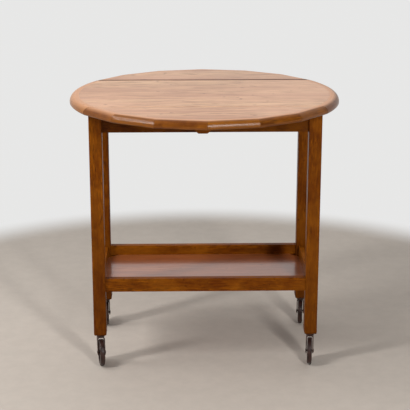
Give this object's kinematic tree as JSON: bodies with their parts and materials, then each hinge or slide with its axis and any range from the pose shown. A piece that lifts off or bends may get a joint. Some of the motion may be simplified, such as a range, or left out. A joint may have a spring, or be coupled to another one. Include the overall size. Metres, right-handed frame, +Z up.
{
  "type": "drop leaf tea trolley",
  "caption": "Low wheeled tea table with a many-sided drop leaf top, square legs, a railed lower tray and swivel castors.",
  "frame": {"origin": "on the floor under the middle of the top", "axes": "+X along the hinge lines to the right end, +Y to the back leaf, +Z up"},
  "size_m": [0.647, 0.647, 0.65],
  "materials": {
    "top_veneer": "pale mahogany veneer, satin lacquer",
    "lipping_wood": "stained hardwood, gloss lacquer",
    "frame_wood": "stained hardwood, gloss lacquer",
    "tray_veneer": "pale mahogany veneer, gloss lacquer",
    "hinge_steel": "plated steel",
    "bronze_enamel": "bronze brown enamel, gloss",
    "wheel_plastic": "bronze brown, gloss"
  },
  "bodies": {
    "frame": {"arm_bracket_screws": "hinge_steel", "arm_nuts": "hinge_steel", "back_apron": "frame_wood", "back_arm_bolt": "hinge_steel", "back_arm_bracket": "hinge_steel", "back_left_castor_socket": "bronze_enamel", "back_left_hinge_top_flap": "hinge_steel", "back_left_leg": "frame_wood", "back_right_castor_socket": "bronze_enamel", "back_right_hinge_top_flap": "hinge_steel", "back_right_leg": "frame_wood", "corner_block_screws": "hinge_steel", "corner_blocks": "frame_wood", "fixed_top": "top_veneer", "front_apron": "frame_wood", "front_arm_bolt": "hinge_steel", "front_arm_bracket": "hinge_steel", "front_left_castor_socket": "bronze_enamel", "front_left_hinge_top_flap": "hinge_steel", "front_left_leg": "frame_wood", "front_right_castor_socket": "bronze_enamel", "front_right_hinge_top_flap": "hinge_steel", "front_right_leg": "frame_wood", "hinge_pins": "hinge_steel", "left_apron": "frame_wood", "left_end_lipping": "lipping_wood", "right_apron": "frame_wood", "right_end_lipping": "lipping_wood", "top_flap_screws": "hinge_steel", "tray_back_rail": "frame_wood", "tray_board": "tray_veneer", "tray_front_rail": "frame_wood", "tray_left_rail": "frame_wood", "tray_right_rail": "frame_wood"},
    "front_leaf": {"front_leaf": "top_veneer", "front_leaf_flap_screws": "hinge_steel", "front_leaf_lipping": "lipping_wood", "front_left_hinge_leaf_flap": "hinge_steel", "front_right_hinge_leaf_flap": "hinge_steel"},
    "back_leaf": {"back_leaf": "top_veneer", "back_leaf_flap_screws": "hinge_steel", "back_leaf_lipping": "lipping_wood", "back_left_hinge_leaf_flap": "hinge_steel", "back_right_hinge_leaf_flap": "hinge_steel"},
    "front_arm": {"front_support_arm": "frame_wood"},
    "back_arm": {"back_support_arm": "frame_wood"},
    "front_left_swivel": {"front_left_castor_fork": "bronze_enamel", "front_left_castor_axle": "bronze_enamel"},
    "front_left_wheel": {"front_left_castor_wheel": "wheel_plastic"},
    "front_right_swivel": {"front_right_castor_fork": "bronze_enamel", "front_right_castor_axle": "bronze_enamel"},
    "front_right_wheel": {"front_right_castor_wheel": "wheel_plastic"},
    "back_left_swivel": {"back_left_castor_fork": "bronze_enamel", "back_left_castor_axle": "bronze_enamel"},
    "back_left_wheel": {"back_left_castor_wheel": "wheel_plastic"},
    "back_right_swivel": {"back_right_castor_fork": "bronze_enamel", "back_right_castor_axle": "bronze_enamel"},
    "back_right_wheel": {"back_right_castor_wheel": "wheel_plastic"}
  },
  "joints": [
    {"name": "front_leaf_hinge", "type": "hinge", "parent": "frame", "child": "front_leaf", "pos_m": [0, -0.16175, 0.6277], "axis": [1, 0, 0], "range_deg": [0, 90]},
    {"name": "back_leaf_hinge", "type": "hinge", "parent": "frame", "child": "back_leaf", "pos_m": [0, 0.16175, 0.6277], "axis": [-1, 0, 0], "range_deg": [0, 90]},
    {"name": "front_arm_pivot", "type": "hinge", "parent": "frame", "child": "front_arm", "pos_m": [-0.008, -0.14665, 0.6168], "axis": [1, 0, 0], "range_deg": [0, 90]},
    {"name": "back_arm_pivot", "type": "hinge", "parent": "frame", "child": "back_arm", "pos_m": [0.008, 0.14665, 0.6168], "axis": [-1, 0, 0], "range_deg": [0, 90]},
    {"name": "front_left_castor_swivel", "type": "hinge", "parent": "frame", "child": "front_left_swivel", "pos_m": [-0.25625, -0.1233, 0.0711], "axis": [0, 0, 1], "continuous": true},
    {"name": "front_left_wheel_spin", "type": "hinge", "parent": "front_left_swivel", "child": "front_left_wheel", "pos_m": [-0.25451, -0.13315, 0.0325], "axis": [0.9848, 0.1736, 0], "continuous": true},
    {"name": "front_right_castor_swivel", "type": "hinge", "parent": "frame", "child": "front_right_swivel", "pos_m": [0.25625, -0.1233, 0.0711], "axis": [0, 0, 1], "continuous": true},
    {"name": "front_right_wheel_spin", "type": "hinge", "parent": "front_right_swivel", "child": "front_right_wheel", "pos_m": [0.2552, -0.13325, 0.0325], "axis": [0.9945, -0.1045, 0], "continuous": true},
    {"name": "back_left_castor_swivel", "type": "hinge", "parent": "frame", "child": "back_left_swivel", "pos_m": [-0.25625, 0.1233, 0.0711], "axis": [0, 0, 1], "continuous": true},
    {"name": "back_left_wheel_spin", "type": "hinge", "parent": "back_left_swivel", "child": "back_left_wheel", "pos_m": [-0.25677, 0.13329, 0.0325], "axis": [-0.9986, -0.0523, 0], "continuous": true},
    {"name": "back_right_castor_swivel", "type": "hinge", "parent": "frame", "child": "back_right_swivel", "pos_m": [0.25625, 0.1233, 0.0711], "axis": [0, 0, 1], "continuous": true},
    {"name": "back_right_wheel_spin", "type": "hinge", "parent": "back_right_swivel", "child": "back_right_wheel", "pos_m": [0.2573, 0.13325, 0.0325], "axis": [-0.9945, 0.1045, 0], "continuous": true}
  ],
  "couplings": [
    {"joint": "front_arm_pivot", "follows": "front_leaf_hinge", "ratio": 1},
    {"joint": "back_arm_pivot", "follows": "back_leaf_hinge", "ratio": 1}
  ]
}
